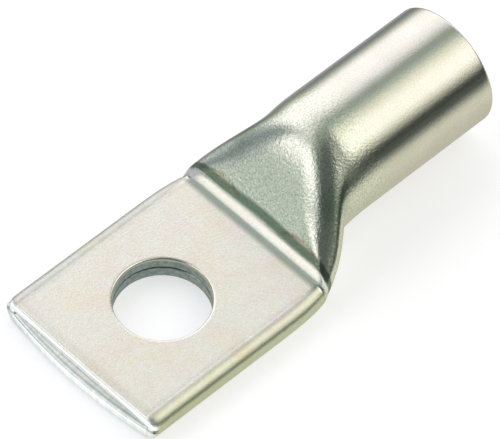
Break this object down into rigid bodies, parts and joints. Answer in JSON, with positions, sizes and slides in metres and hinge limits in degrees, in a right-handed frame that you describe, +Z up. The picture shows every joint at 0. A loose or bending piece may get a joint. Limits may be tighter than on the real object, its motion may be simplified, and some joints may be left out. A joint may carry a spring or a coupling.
{
  "type": "tubular cable lug",
  "caption": "Tubular cable lug: a round barrel for crimping on a stranded conductor, necked down over a step to a flattened two-layer palm with a bolt hole.",
  "frame": {"origin": "on the bolt hole's axis, in the plane of the palm's underside", "axes": "+X across the palm, +Y along the barrel towards its open mouth, +Z up out of the palm's upper face"},
  "size_m": [0.0182, 0.0433, 0.0114],
  "materials": {
    "tinned_copper": "satin matt tin plating over copper"
  },
  "bodies": {
    "root": {"lug_body": "tinned_copper"}
  },
  "joints": []
}
